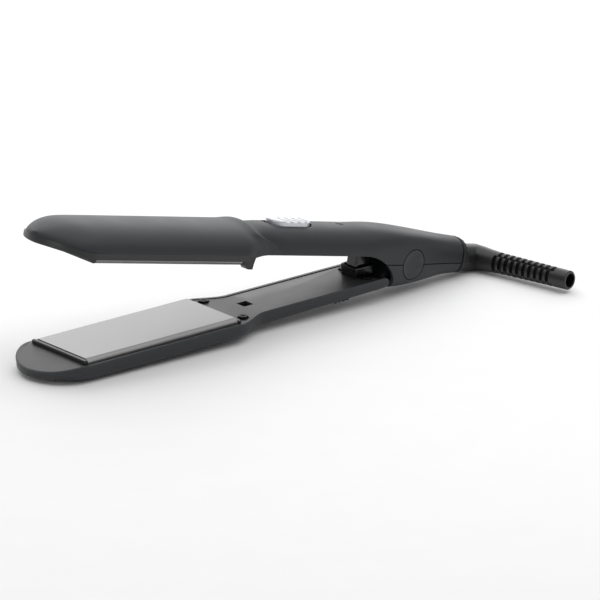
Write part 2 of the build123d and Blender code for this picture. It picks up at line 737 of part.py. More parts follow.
def build():
    """All nodes: name to solids."""
    shell = upper_shell()
    lower = {
        "lower_casing": [lower_casing()],
        "lower_inner_cover": [lower_inner_cover()],
        "lower_plate_carrier": [carrier(lower_deck, wall + slip)],
        "lower_plate": [plate()],
        "lower_heater": [heater()],
        "lower_heater_clamp": [heater_clamp()],
        "lower_heater_leads": heater_leads(lock_front - 3.0, lead_spread, -lower_lead_level),
        "spring_socket": [spring_socket()],
        "opening_spring": [opening_spring()],
        "plate_screws": [screw(plate_screw_x, side * plate_screw_y, lower_rim, 5.5) for side in (1, -1)],
        "rear_screws": [screw(rear_screw_x, side * rear_screw_y, lower_rim, rear_screw_depth)
                        for side in (1, -1)],
        "lock_slider": [lock_slider()],
    }
    upper = {
        "upper_casing": [upper_casing(shell)],
        "tail_lower_shell": [tail_lower_shell(shell)],
        "upper_liner": [upper_liner()],
        "upper_plate_carrier": mirrored([carrier(upper_deck, wall + 3 * slip)]),
        "upper_plate": mirrored([plate()]),
        "upper_heater": mirrored([heater()]),
        "upper_heater_clamp": mirrored([heater_clamp()]),
        "upper_heater_leads": lead_to_board(),
        "thermal_fuse": mirrored([thermal_fuse()]),
        "locating_peg": [locating_peg()],
        "spring_post": [spring_post()],
        "control_board": [control_board()],
        "switch_body": [switch_body()],
        "switch_slider": [switch_slider()],
        "indicator_led": [indicator_led()],
        "indicator_lens": [indicator_lens()],
        "hinge_pin": [hinge_pin()],
        "hinge_bush_near": [hinge_bush(-1)],
        "hinge_bush_far": [hinge_bush(1)],
        "hinge_cap_near": [hinge_cap(-1)],
        "hinge_cap_far": [hinge_cap(1)],
        "tail_screws": tail_screws(),
        "cord_collar": [cord_collar()],
        "slip_contact": [slip_contact()],
        "slip_rings": slip_rings(),
        "swivel_stem": [swivel_stem()],
        "cord_relief": [cord_relief()],
    }
    nodes = {name: place(pieces, 0.0) for name, pieces in lower.items()}
    nodes.update({name: place(pieces, open_angle) for name, pieces in upper.items()})
    return nodes


os.makedirs("parts", exist_ok=True)
for node_name, node_solids in build().items():
    export_step(Compound(children=node_solids), f"parts/{node_name}.step")
    print(node_name, len(node_solids), "solids")
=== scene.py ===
"""Flat iron: the looks of a hair straightener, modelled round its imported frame."""
import json
from math import acos, atan2, copysign, cos, exp, hypot, pi, radians, sin, sqrt

import bpy
from mathutils import Matrix, Vector


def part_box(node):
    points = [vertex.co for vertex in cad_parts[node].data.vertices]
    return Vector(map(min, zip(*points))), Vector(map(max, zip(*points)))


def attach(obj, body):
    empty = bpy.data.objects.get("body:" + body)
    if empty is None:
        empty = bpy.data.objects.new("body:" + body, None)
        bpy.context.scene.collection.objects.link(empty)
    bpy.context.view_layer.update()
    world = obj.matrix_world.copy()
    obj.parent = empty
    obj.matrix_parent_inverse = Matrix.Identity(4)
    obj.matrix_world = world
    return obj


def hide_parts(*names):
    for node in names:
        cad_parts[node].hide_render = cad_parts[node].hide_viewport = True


bl_info = {
    "name": "Flat Iron",
    "version": (1, 0, 0),
    "blender": (4, 5, 0),
    "location": "View3D > Sidebar > Flat Iron",
    "description": "Builds the shells, button, cord guard and finishes of a hair straightener",
    "category": "Add Mesh",
}

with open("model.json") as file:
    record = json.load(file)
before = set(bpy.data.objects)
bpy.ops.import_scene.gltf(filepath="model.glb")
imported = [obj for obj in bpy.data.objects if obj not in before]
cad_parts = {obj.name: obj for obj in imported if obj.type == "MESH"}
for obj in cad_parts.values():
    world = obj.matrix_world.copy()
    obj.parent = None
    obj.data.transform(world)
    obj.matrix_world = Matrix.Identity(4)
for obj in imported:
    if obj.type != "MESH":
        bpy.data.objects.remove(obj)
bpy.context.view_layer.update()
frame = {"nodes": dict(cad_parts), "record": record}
RECORD = frame["record"]
HINGE = next(j for j in RECORD["behaviour"]["joints"] if j["name"] == "arm_hinge")

MM = 0.001
HINGE_X = HINGE["pos_m"][0] / MM
MATING = HINGE["pos_m"][2] / MM          # height of the mating plane
OPEN = radians(HINGE["range_deg"][1])
PLATE_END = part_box("lower_plate")[1][0] / MM
PLATE_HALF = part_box("lower_plate")[1][1] / MM
ARM_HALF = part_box("lower_casing")[1][1] / MM
COVER_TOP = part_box("lower_inner_cover")[1][2] / MM - MATING
NOSE_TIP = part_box("lower_casing")[0][0] / MM


# ---- Measures that a user would change ----
def length(name, default_mm, description):
    """A length property, given in millimetres."""
    return bpy.props.FloatProperty(name=name, description=description, default=default_mm * MM,
                                   min=0.0, unit="LENGTH", subtype="DISTANCE", precision=5)


def colour(name, default, description):
    """A colour property."""
    return bpy.props.FloatVectorProperty(name=name, description=description, default=default, size=3,
                                         min=0.0, max=1.0, subtype="COLOR")


class ArmMeasures(bpy.types.PropertyGroup):
    """Sizes of the two arms."""
    wall: length("Wall", 1.6, "Thickness of the casings")
    grip_half: length("Grip half width", 15.2, "Half the width of the grip")
    tail_half: length("Tail half width", 9.4, "Half the width of the tail's rear end")
    crown: length("Crown", 17.4, "Height of the head's crown above the plates")
    grip_crown: length("Grip crown", 17.1, "Height of the grip's crown behind the shoulder")
    seam: length("Seam", 0.45, "Gap at the tail's parting line and round the hinge caps")
    crest: length("Shoulder crest", 1.05, "Height of the crest where the head meets the grip")


class GuardMeasures(bpy.types.PropertyGroup):
    """Sizes of the cord guard."""
    elbow: length("Elbow radius", 6.8, "Radius of the rubber elbow")
    root: length("Sleeve radius", 5.25, "Radius of the strain relief behind the elbow")
    tip: length("Tip radius", 4.75, "Radius of the strain relief at its end")
    bore: length("Cord bore", 3.5, "Radius of the hole for the cord")
    slots: bpy.props.IntProperty(name="Slots", description="Slots in each row", default=10, min=2,
                                 max=20)


class FinishColours(bpy.types.PropertyGroup):
    """Base colours of the finishes."""
    casing: colour("Casing", (0.0125, 0.0150, 0.0178), "Matte charcoal plastic")
    frame: colour("Frame", (0.0075, 0.0080, 0.0085), "Heat-resistant plastic round the plates")
    cover: colour("Cover", (0.028, 0.0275, 0.027), "Inner cover of the lower grip")
    plate: colour("Plate", (0.27, 0.265, 0.266), "Ceramic-coated plates")
    silver: colour("Silver", (0.62, 0.63, 0.66), "Lacquered switch button")
    rubber: colour("Rubber", (0.005, 0.005, 0.0055), "Cord guard")


def mm(group, name):
    """A length property's value in millimetres."""
    return getattr(getattr(bpy.context.scene, group), name) / MM


# ---- Shader expressions ----
class Wire:
    """A shader socket that takes part in arithmetic."""

    def __init__(self, tree, socket):
        self.tree = tree
        self.socket = socket

    def math(self, operation, first, second=0.0):
        return self.tree.node("ShaderNodeMath", {"operation": operation}, {0: first, 1: second})

    def __add__(self, other):
        return self.math("ADD", self, other)

    def __radd__(self, other):
        return self.math("ADD", other, self)

    def __sub__(self, other):
        return self.math("SUBTRACT", self, other)

    def __rsub__(self, other):
        return self.math("SUBTRACT", other, self)

    def __mul__(self, other):
        return self.math("MULTIPLY", self, other)

    def __rmul__(self, other):
        return self.math("MULTIPLY", other, self)

    def clamped(self):
        """The value limited to 0..1."""
        return self.tree.node("ShaderNodeClamp", {}, {"Value": self})


class Finish:
    """A procedural material built round one Principled shader."""

    def __init__(self, name, **constants):
        self.material = bpy.data.materials.new(name)
        self.material.use_nodes = True
        self.nodes = self.material.node_tree.nodes
        self.links = self.material.node_tree.links
        self.shader = next(n for n in self.nodes if n.type == "BSDF_PRINCIPLED")
        for socket, value in constants.items():
            self.shader.inputs[socket.replace("_", " ")].default_value = value

    def node(self, kind, settings=None, inputs=None, out=0):
        """Adds a node, sets its settings, then its sockets, and returns one output."""
        made = self.nodes.new(kind)
        for key, value in (settings or {}).items():
            if key == "stops":
                ramp = made.color_ramp.elements
                while len(ramp) < len(value):
                    ramp.new(0.5)
                for stop, (position, level) in zip(ramp, value):
                    stop.position = position
                    stop.color = level if len(level) == 4 else (*level, 1.0)
            else:
                setattr(made, key, value)
        for key, value in (inputs or {}).items():
            if isinstance(value, Wire):
                self.links.new(value.socket, made.inputs[key])
            else:
                made.inputs[key].default_value = value
        return Wire(self, made.outputs[out])

    def feed(self, socket, wire):
        """Links a wire to the shader."""
        self.links.new(wire.socket, self.shader.inputs[socket])

    def place(self, scale=(1.0, 1.0, 1.0)):
        """Object coordinates, stretched."""
        spot = self.node("ShaderNodeTexCoord", out="Object")
        return self.node("ShaderNodeMapping", {}, {"Vector": spot, "Scale": scale})

    def noise(self, scale, detail=3.0, stretch=(1.0, 1.0, 1.0), rough=0.5):
        """Fine noise in the piece's own space."""
        return self.node("ShaderNodeTexNoise", {}, {"Vector": self.place(stretch), "Scale": scale,
                                                   "Detail": detail, "Roughness": rough}, out="Fac")

    def tint(self, amount, low, high):
        """A colour between two, by a value."""
        return self.node("ShaderNodeMix", {"data_type": "RGBA"},
                         {"Factor": amount, 6: (*low, 1.0), 7: (*high, 1.0)}, out=2)

    def bump(self, height, distance_mm, strength=0.5):
        """Relief on the surface."""
        relief = self.node("ShaderNodeBump", {}, {"Height": height, "Distance": distance_mm * MM,
                                                  "Strength": strength})
        self.feed("Normal", relief)


def lighter(rgb, factor):
    """A colour scaled and kept under 1."""
    return tuple(min(1.0, channel * factor) for channel in rgb)


def edge_wear_and_highlight(finish):
    """1 on convex edges, 0 elsewhere; the lightening it drives is part edge wear, part painted
    highlight.
    """
    pointy = finish.node("ShaderNodeNewGeometry", out="Pointiness")
    return ((pointy - 0.53) * 14.0).clamped()


def moulded_plastic(name, base, roughness, grain, **constants):
    """Spark-eroded plastic: a fine even grain, faint mottling, slightly polished edges and a painted
    highlight that lightens those edges.
    """
    finish = Finish(name, IOR=1.5, **constants)
    cloud = finish.noise(55.0, 2.0)
    speck = finish.noise(2600.0, 2.0)
    wear_and_highlight = edge_wear_and_highlight(finish)
    # Convex edges are painted lighter: part wear, part painted highlight. The roughness drop below is
    # the real polish.
    finish.feed("Base Color", finish.tint((cloud * 0.6 + speck * 0.4 + wear_and_highlight * 0.35).clamped(),
                                          lighter(base, 0.8), lighter(base, 1.35)))
    finish.feed("Roughness", roughness + (cloud - 0.5) * 0.12 + (speck - 0.5) * 0.1 - wear_and_highlight * 0.08)
    finish.bump(speck + finish.noise(1300.0, 1.0) * 0.6, grain, 0.35)
    return finish.material


def coated_plate(name, base):
    """Smooth ceramic coating over a lapped plate, with a very fine sparkle."""
    finish = Finish(name, IOR=1.6, Metallic=0.5)
    speck = finish.noise(2400.0, 2.0)
    cloud = finish.noise(30.0, 2.0)
    finish.feed("Base Color", finish.tint((speck * 0.5 + cloud * 0.5).clamped(), lighter(base, 0.94),
                                          lighter(base, 1.06)))
    finish.feed("Roughness", 0.36 + (speck - 0.5) * 0.08 + (cloud - 0.5) * 0.05)
    finish.bump(speck, 0.008, 0.15)
    return finish.material


def lacquer(name, base):
    """Silver lacquer with fine flakes."""
    finish = Finish(name, Metallic=0.65, Coat_Weight=0.35, Coat_Roughness=0.12)
    flake = finish.node("ShaderNodeTexVoronoi", {}, {"Vector": finish.place(), "Scale": 3800.0},
                        out="Distance")
    cloud = finish.noise(70.0, 2.0)
    finish.feed("Base Color", finish.tint((flake * 0.9 + cloud * 0.3).clamped(), lighter(base, 1.12),
                                          lighter(base, 0.86)))
    finish.feed("Roughness", 0.3 + (cloud - 0.5) * 0.1 + flake * 0.08)
    finish.bump(flake, 0.015, 0.2)
    return finish.material


def guard_rubber(name, base):
    """Flexible moulded rubber, satin, with a faint bloom; its convex edges are painted lighter, part
    wear, part painted highlight.
    """
    finish = Finish(name, IOR=1.5)
    cloud = finish.noise(90.0, 3.0)
    speck = finish.noise(2200.0, 1.0)
    wear_and_highlight = edge_wear_and_highlight(finish)
    # Convex edges are painted lighter: part wear, part painted highlight.
    finish.feed("Base Color", finish.tint((cloud * 0.7 + wear_and_highlight * 0.5).clamped(), lighter(base, 0.7),
                                          lighter(base, 2.2)))
    finish.feed("Roughness", 0.34 + (cloud - 0.5) * 0.16 + speck * 0.06)
    finish.bump(speck, 0.02, 0.3)
    return finish.material


def bare_metal(name, base, roughness, stretch=(0.05, 1.0, 1.0)):
    """Drawn or turned metal with fine lines."""
    finish = Finish(name, Metallic=1.0)
    lines = finish.noise(1400.0, 2.0, stretch)
    cloud = finish.noise(120.0, 2.0)
    finish.feed("Base Color", finish.tint((lines * 0.6 + cloud * 0.4).clamped(), lighter(base, 0.85),
                                          lighter(base, 1.15)))
    finish.feed("Roughness", roughness + (lines - 0.5) * 0.15)
    finish.bump(lines, 0.01, 0.2)
    return finish.material


def fired_ceramic(name):
    """Fired white ceramic with fine pores."""
    finish = Finish(name, IOR=1.6)
    pores = finish.node("ShaderNodeTexVoronoi", {}, {"Vector": finish.place(), "Scale": 1500.0},
                        out="Distance")
    cloud = finish.noise(60.0, 3.0)
    finish.feed("Base Color", finish.tint(cloud, (0.62, 0.6, 0.55), (0.8, 0.79, 0.75)))
    finish.feed("Roughness", 0.5 + (cloud - 0.5) * 0.2)
    finish.bump(pores, 0.03, 0.3)
    return finish.material


def circuit_board(name):
    """Green solder mask with copper tracks beneath."""
    finish = Finish(name, IOR=1.5)
    tracks = finish.node("ShaderNodeTexBrick", {}, {"Vector": finish.place(), "Scale": 240.0,
                                                    "Mortar Size": 0.03}, out="Fac")
    cloud = finish.noise(200.0, 2.0)
    finish.feed("Base Color", finish.tint((tracks * 0.7 + cloud * 0.3).clamped(), (0.01, 0.1, 0.035),
                                          (0.03, 0.22, 0.07)))
    finish.feed("Roughness", 0.35 + (cloud - 0.5) * 0.15)
    finish.bump(tracks, 0.03, 0.4)
    return finish.material


def braided_sleeve(name):
    """Glass-fibre sleeve of a lead."""
    finish = Finish(name, Sheen_Weight=0.3)
    braid = finish.node("ShaderNodeTexWave", {"wave_type": "BANDS", "bands_direction": "DIAGONAL"},
                        {"Vector": finish.place(), "Scale": 900.0, "Distortion": 1.5}, out="Fac")
    finish.feed("Base Color", finish.tint(braid, (0.45, 0.42, 0.36), (0.78, 0.75, 0.68)))
    finish.feed("Roughness", 0.7 + (braid - 0.5) * 0.2)
    finish.bump(braid, 0.08, 0.5)
    return finish.material


def lamp_window(name, base):
    """Tinted clear plastic with faint moulding swirls."""
    finish = Finish(name, IOR=1.45, Coat_Weight=0.1, Coat_Roughness=0.2)
    cloud = finish.noise(400.0, 3.0)
    finish.feed("Base Color", finish.tint(cloud, lighter(base, 0.7), lighter(base, 1.5)))
    finish.feed("Roughness", 0.38 + cloud * 0.12)
    finish.bump(cloud, 0.02, 0.2)
    return finish.material


def make_finishes():
    """All finishes, by name."""
    colours = bpy.context.scene.flat_iron_finish
    return {
        "casing": moulded_plastic("casing_plastic", tuple(colours.casing), 0.52, 0.035),
        "frame": moulded_plastic("frame_plastic", tuple(colours.frame), 0.42, 0.03),
        "cover": moulded_plastic("cover_plastic", tuple(colours.cover), 0.46, 0.035),
        "gloss": moulded_plastic("polished_black", lighter(tuple(colours.frame), 0.6), 0.24, 0.012),
        "knurl": moulded_plastic("collar_plastic", lighter(tuple(colours.casing), 0.7), 0.62, 0.12),
        "plate": coated_plate("plate_coating", tuple(colours.plate)),
        "silver": lacquer("switch_lacquer", tuple(colours.silver)),
        "rubber": guard_rubber("guard_rubber", tuple(colours.rubber)),
        "steel": bare_metal("satin_steel", (0.5, 0.5, 0.51), 0.32),
        "screw": bare_metal("blackened_steel", (0.022, 0.022, 0.024), 0.5, (1.0, 1.0, 1.0)),
        "brass": bare_metal("bush_brass", (0.72, 0.53, 0.24), 0.3),
        "ceramic": fired_ceramic("heater_ceramic"),
        "board": circuit_board("board_mask"),
        "lead": braided_sleeve("lead_sleeve"),
        "lens": lamp_window("lamp_lens", (0.02, 0.012, 0.012)),
        "led": lamp_window("lamp_body", (0.5, 0.05, 0.03)),
    }


FINISHES = {}


def paint(obj, finish):
    """Gives an object one finish."""
    obj.data.materials.clear()
    obj.data.materials.append(FINISHES[finish])


# ---- Modelling helpers; pieces are modelled in millimetres, arms closed, z = 0 at the mating plane ----
def fresh():
    """Leaves object mode with nothing selected."""
    if bpy.context.object and bpy.context.object.mode != "OBJECT":
        bpy.ops.object.mode_set(mode="OBJECT")
    bpy.ops.object.select_all(action="DESELECT")


def named(name):
    """Names the object that was just added."""
    made = bpy.context.object
    made.name = name
    made.data.name = name
    return made


def activate(obj):
    """Makes one object selected and active."""
    fresh()
    obj.select_set(True)
    bpy.context.view_layer.objects.active = obj


def signed_power(value, power):
    """A power that keeps the sign."""
    return copysign(abs(value) ** power, value)


def draw_out(name, stations, power, sides=32):
    """Draws a superellipse along X through stations of (x, half width, middle height, half height)."""
    fresh()
    bpy.ops.mesh.primitive_circle_add(vertices=sides, radius=1.0, fill_type="NGON")
    body = named(name)
    x, half_y, middle, half_z = stations[0]
    for vertex in body.data.vertices:
        angle = atan2(vertex.co.y, vertex.co.x)
        vertex.co = (x, half_y * signed_power(cos(angle), 2 / power),
                     middle + half_z * signed_power(sin(angle), 2 / power))
    bpy.ops.object.mode_set(mode="EDIT")
    bpy.ops.mesh.select_all(action="SELECT")
    for before, after in zip(stations, stations[1:]):
        step = (after[0] - before[0], 0.0, after[2] - before[2])
        bpy.ops.mesh.extrude_region_move(TRANSFORM_OT_translate={"value": step})
        bpy.ops.transform.resize(value=(1.0, after[1] / before[1], after[3] / before[3]),
                                 center_override=(after[0], 0.0, after[2]))
    outward(body)
    return body


def outward(obj):
    """Recalculates an object's normals."""
    activate(obj)
    bpy.ops.object.mode_set(mode="EDIT")
    bpy.ops.mesh.select_all(action="SELECT")
    bpy.ops.mesh.remove_doubles(threshold=0.0005)
    bpy.ops.mesh.normals_make_consistent(inside=False)
    bpy.ops.object.mode_set(mode="OBJECT")


def outline_block(name, outline, depth, axis="Z"):
    """A flat outline drawn out along an axis; its points are given in the other two, in order."""
    fresh()
    bpy.ops.mesh.primitive_circle_add(vertices=len(outline), radius=1.0, fill_type="NGON")
    body = named(name)
    low, high = depth
    for vertex, (a, b) in zip(body.data.vertices, outline):
        vertex.co = {"X": (low, a, b), "Y": (a, low, b), "Z": (a, b, low)}[axis]
    step = {"X": (high - low, 0.0, 0.0), "Y": (0.0, high - low, 0.0), "Z": (0.0, 0.0, high - low)}[axis]
    bpy.ops.object.mode_set(mode="EDIT")
    bpy.ops.mesh.select_all(action="SELECT")
    bpy.ops.mesh.extrude_region_move(TRANSFORM_OT_translate={"value": step})
    outward(body)
    return body


def drum(name, centre, radius, depth, axis="Z", sides=64):
    """A cylinder along an axis."""
    fresh()
    turn = {"X": (0.0, pi / 2, 0.0), "Y": (pi / 2, 0.0, 0.0), "Z": (0.0, 0.0, 0.0)}[axis]
    bpy.ops.mesh.primitive_cylinder_add(vertices=sides, radius=radius, depth=depth, location=centre,
                                        rotation=turn)
    body = named(name)
    bpy.ops.object.transform_apply(location=True, rotation=True, scale=True)
    return body


def brick(name, low, high):
    """A block between two corners."""
    fresh()
    middle = [(a + b) / 2 for a, b in zip(low, high)]
    bpy.ops.mesh.primitive_cube_add(size=1.0, location=middle)
    body = named(name)
    body.scale = [b - a for a, b in zip(low, high)]
    bpy.ops.object.transform_apply(location=True, rotation=True, scale=True)
    return body


def refine(obj, kind, **settings):
    """Adds a modifier and applies it."""
    activate(obj)
    step = obj.modifiers.new(kind.lower(), kind)
    for key, value in settings.items():
        setattr(step, key, value)
    bpy.ops.object.modifier_apply(modifier=step.name)


def carve(obj, cutter, operation="DIFFERENCE"):
    """Cuts a shape out of a piece, or joins it on."""
    refine(obj, "BOOLEAN", object=cutter, operation=operation, solver="EXACT")
    bpy.data.objects.remove(cutter, do_unlink=True)


def bevel_edges(obj, chosen, offset, segments):
    """Bevels the edges whose two end points satisfy a test."""
    activate(obj)
    bpy.ops.object.mode_set(mode="EDIT")
    bpy.ops.mesh.select_mode(type="EDGE")
    bpy.ops.mesh.select_all(action="DESELECT")
    bpy.ops.object.mode_set(mode="OBJECT")
    points = obj.data.vertices
    for edge in obj.data.edges:
        edge.select = chosen(points[edge.vertices[0]].co, points[edge.vertices[1]].co)
    bpy.ops.object.mode_set(mode="EDIT")
    bpy.ops.mesh.bevel(offset=offset, segments=segments, affect="EDGES", clamp_overlap=True)
    bpy.ops.object.mode_set(mode="OBJECT")


def merge(target, *others):
    """Joins objects into one."""
    activate(target)
    for other in others:
        other.select_set(True)
    bpy.ops.object.join()
    return target


LIFT = Matrix.Translation((0.0, 0.0, MATING * MM)) @ Matrix.Scale(MM, 4)
SWING = (Matrix.Translation((HINGE_X, 0.0, 0.0)) @ Matrix.Rotation(OPEN, 4, "Y")
         @ Matrix.Translation((-HINGE_X, 0.0, 0.0)))


def settle(obj, body, finish, nodes, opened, smooth=35.0):
    """Puts a finished piece in the row frame, paints it and gives it to its body."""
    activate(obj)
    obj.matrix_world = LIFT @ SWING if opened else LIFT
    bpy.ops.object.transform_apply(location=True, rotation=True, scale=True)
    bpy.ops.object.shade_smooth_by_angle(angle=radians(smooth))
    refine(obj, "WEIGHTED_NORMAL", keep_sharp=True, weight=90)
    paint(obj, finish)
    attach(obj, body)
    if nodes:
        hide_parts(*nodes)
    return obj


# ---- The arms' lines, in millimetres ----
NOSE_START = -PLATE_END - 1.4
SHOULDER = (PLATE_END, PLATE_END + 21.0)
ARM_END = HINGE_X - 16.0
TAIL_END = HINGE_X + 36.5
UPPER_CENTRE = 3.0
TAIL_CENTRE = 2.45
CROWN_TIP = 10.5
HEAD_RIM = 5.0
GRIP_RIM = 4.2
NOSE_LENGTH = NOSE_START - NOSE_TIP
NOSE_OVERHANG = 2.0
HULL_START = NOSE_START + 10.4
RISE_START = 10.0
LOWER_RISE = 3.1
RIM_LIP = 0.3
NOSE_SLOPE = 2.9
PLATE_GAP = 0.2
LOCK_TRAVEL = 4.0
CAP_RADIUS = 7.3
UPPER_POWER = 2.4                        # squareness of the upper arm's section
LOWER_POWER = 4.2                        # squareness of the lower arm's section
SWITCH_FRONT = SHOULDER[1] + 8.5
PEG_HOLE = SHOULDER[1] - 3.1


def glide(x, x0, x1, a, b):
    """Smooth change from a at x0 to b at x1."""
    t = min(max((x - x0) / (x1 - x0), 0.0), 1.0)
    return a + (b - a) * t * t * (3 - 2 * t)


def nose_round(x, reach):
    """1 behind the nose, falling to 0 at its tip as an ellipse does."""
    u = min(max((NOSE_START - x) / reach, 0.0), 1.0)
    return sqrt(1 - u * u)


def half_width(x, inset=0.0, reach=NOSE_LENGTH):
    """Half width of an arm."""
    grip = mm("flat_iron_arms", "grip_half")
    width = glide(x, *SHOULDER, ARM_HALF, grip)
    width = glide(x, ARM_END, TAIL_END, width, mm("flat_iron_arms", "tail_half"))
    return (width - inset) * nose_round(x, reach - inset) ** 1.12


def crown(x, inset=0.0):
    """Height of the upper crown."""
    head = mm("flat_iron_arms", "crown")
    grip = mm("flat_iron_arms", "grip_crown")
    height = glide(x, *SHOULDER, head, grip)
    height = glide(x, SHOULDER[1], ARM_END, height, grip - 0.2)
    height = glide(x, ARM_END - 10, TAIL_END + 14, height, grip - 6.2)
    rounding = nose_round(x, NOSE_LENGTH + NOSE_OVERHANG - inset) ** 2
    return CROWN_TIP * (1 - rounding) + height * rounding


def centre_line(x):
    """Height of the upper arm's widest line."""
    return glide(x, ARM_END - 20, HINGE_X, UPPER_CENTRE, TAIL_CENTRE)


def upper_stations(inset, beyond):
    """Stations of the upper arm's form."""
    reach = NOSE_LENGTH + NOSE_OVERHANG - inset
    places = [NOSE_START - u * reach for u in (0.995, 0.97, 0.92, 0.83, 0.7, 0.5, 0.25, 0.0)]
    places += [NOSE_START + f * (SHOULDER[0] - NOSE_START) for f in (0.15, 0.35, 0.55, 0.75, 0.9)]
    places += [SHOULDER[0] + 1.5 * k for k in range(20)]
    places += [SHOULDER[1] + 9 + 9.5 * k for k in range(14) if SHOULDER[1] + 9 + 9.5 * k < TAIL_END - 3]
    places += [TAIL_END - 1.0, TAIL_END + beyond]
    stations = []
    for x in places:
        middle = centre_line(x)
        stations.append((x, half_width(x, inset, NOSE_LENGTH + NOSE_OVERHANG), middle,
                         crown(x, inset) - middle - inset))
    return stations


def nose_lift(x):
    """How far the nose's inner edge leaves the mating plane towards its tip."""
    return glide(x, NOSE_TIP - 1.0, NOSE_START - 1.5, NOSE_SLOPE, 0.0)


def sculpt_shoulder(body):
    """Raises the crest where the head rolls over into the grip, sweeping back down the sides."""
    height = mm("flat_iron_arms", "crest")
    for vertex in body.data.vertices:
        x, y, z = vertex.co
        if not SHOULDER[0] - 14 < x < SHOULDER[1] + 24:
            continue
        middle = centre_line(x)
        level = min(max((z - middle) / (crown(x) - middle), 0.0), 1.0)
        turn = acos(level ** 1.2) / (pi / 2)
        offset = x - (SHOULDER[0] + 11.0 + glide(turn, 0.38, 0.95, 0.0, 15.0))
        if offset < 0:
            rise = height * exp(-(offset / 5.0) ** 2)
        elif offset < 1.6:
            rise = glide(offset, 0.0, 1.6, height, -0.8 * height)
        else:
            rise = -0.8 * height * exp(-((offset - 1.6) / 6.5) ** 2)
        out = Vector((0.0, y, z - middle)).normalized()
        vertex.co += out * (rise * glide(turn, 0.6, 1.0, 1.0, 0.0))


def fill_out_tail(body, inset):
    """Makes the tail's sides flatter round the hinge and its keel deeper at the throat."""
    for vertex in body.data.vertices:
        x, y, z = vertex.co
        if x < ARM_END - 20.0:
            continue
        middle = centre_line(x)
        reach = crown(x, inset) - middle - inset
        level = min(abs(z - middle) / reach, 0.97)
        power = glide(x, ARM_END - 20.0, HINGE_X - 6.0, 2.4, 3.9)
        power = glide(x, HINGE_X + 8.0, TAIL_END - 4.0, power, 2.4)
        vertex.co.y = y * (1 - level ** power) ** (1 / power) / (1 - level ** 2.4) ** (1 / 2.4)
        if z < middle:
            vertex.co.z = middle + (z - middle) * glide(x, ARM_END + 6.0, TAIL_END - 6.0, 1.15, 1.0)


def throat_cutter(name):
    """Everything below the upper arm's lower edge and in front of the tail's throat."""
    start_x = ARM_END - 17.0
    bottom_x = ARM_END + 6.0
    outline = [(-120.0, -60.0), (-120.0, HEAD_RIM + NOSE_SLOPE)]
    outline += [(x, HEAD_RIM + nose_lift(x)) for x in (NOSE_TIP - 2.0 + 2.0 * k for k in range(12))]
    outline += [(SHOULDER[0] + 2.0, HEAD_RIM), (SHOULDER[0] + 7.0, GRIP_RIM)]
    for k in range(13):
        turn = k / 12 * pi / 2
        outline.append((start_x + (bottom_x - start_x) * sin(turn),
                        -15.0 + (GRIP_RIM + 15.0) * cos(turn)))
    outline.append((bottom_x, -60.0))
    return outline_block(name, outline, (-60.0, 60.0), "Y")


def hinge_bosses():
    """Round bosses that stay solid inside both sides of the tail."""
    return merge(*[drum(f"boss_{side}", (HINGE_X, side * 15.6, 0.0), 9.2, 10.0, "Y")
                   for side in (-1, 1)])


def upper_outer(name):
    """The upper arm's outer form."""
    outer = draw_out(name, upper_stations(0.0, 0.0), UPPER_POWER)
    refine(outer, "SUBSURF", levels=2, render_levels=2)
    sculpt_shoulder(outer)
    fill_out_tail(outer, 0.0)
    return outer


def upper_form(name):
    """The hollow upper arm before its halves are parted."""
    outer = upper_outer(name)
    inner = draw_out("cavity", upper_stations(mm("flat_iron_arms", "wall"), 4.0), UPPER_POWER)
    refine(inner, "SUBSURF", levels=1, render_levels=1)
    fill_out_tail(inner, mm("flat_iron_arms", "wall"))
    carve(inner, hinge_bosses())
    carve(outer, inner)
    carve(outer, throat_cutter("throat"))
    gap = mm("flat_iron_arms", "seam")
    for side in (-1, 1):
        carve(outer, drum("seat", (HINGE_X, side * 16.6, 0.0), CAP_RADIUS + gap, 10.0, "Y", 96))
        carve(outer, drum("bush_hole", (HINGE_X, side * 12.0, 0.0), 4.55, 10.0, "Y"))
    return outer


def slot_cutter(name, x0, x1, half_y, low, high):
    """An upright cutter with half-round ends."""
    outline = []
    for k in range(33):
        turn = -pi / 2 + pi * k / 32
        outline.append((x1 - half_y + half_y * cos(turn), half_y * sin(turn)))
    for k in range(33):
        turn = pi / 2 + pi * k / 32
        outline.append((x0 + half_y + half_y * cos(turn), half_y * sin(turn)))
    return outline_block(name, outline, (low, high))


class FLATIRON_OT_upper_arm(bpy.types.Operator):
    """Model the upper casing and the tail's lower shell"""
    bl_idname = "flat_iron.upper_arm"
    bl_label = "Upper Arm Shells"

    def execute(self, context):
        form = upper_form("upper_casing_shell")
        activate(form)
        bpy.ops.object.duplicate()
        tail = named("tail_lower_form")
        seam = mm("flat_iron_arms", "seam") / 2
        carve(form, brick("below", (-150.0, -50.0, -60.0), (TAIL_END + 20, 50.0, seam)))
        carve(tail, brick("above", (-150.0, -50.0, -seam), (TAIL_END + 20, 50.0, 60.0)))
        carve(form, slot_cutter("switch_slot", SWITCH_FRONT - 2.95, SWITCH_FRONT + 25.8, 6.45,
                                7.0, 30.0))
        carve(form, drum("lamp_hole", (SHOULDER[1] + 54.0, 0.0, 15.0), 2.2, 16.0))
        settle(form, "upper_arm", "casing", ["upper_casing"], True)
        settle(tail, "upper_arm", "casing", ["tail_lower_shell"], True)
        return {"FINISHED"}


def underside(x):
    """Height of the lower arm's underside: a hull at the nose, flat under the plates, then rising."""
    rise = LOWER_RISE * max(0.0, x - RISE_START) / (ARM_END - RISE_START)
    u = min(max((HULL_START - x) / (HULL_START - NOSE_TIP), 0.0), 1.0)
    depth = MATING + COVER_TOP - rise
    return COVER_TOP - depth + (depth - 3.4) * (1 - (1 - u * u) ** 0.62)


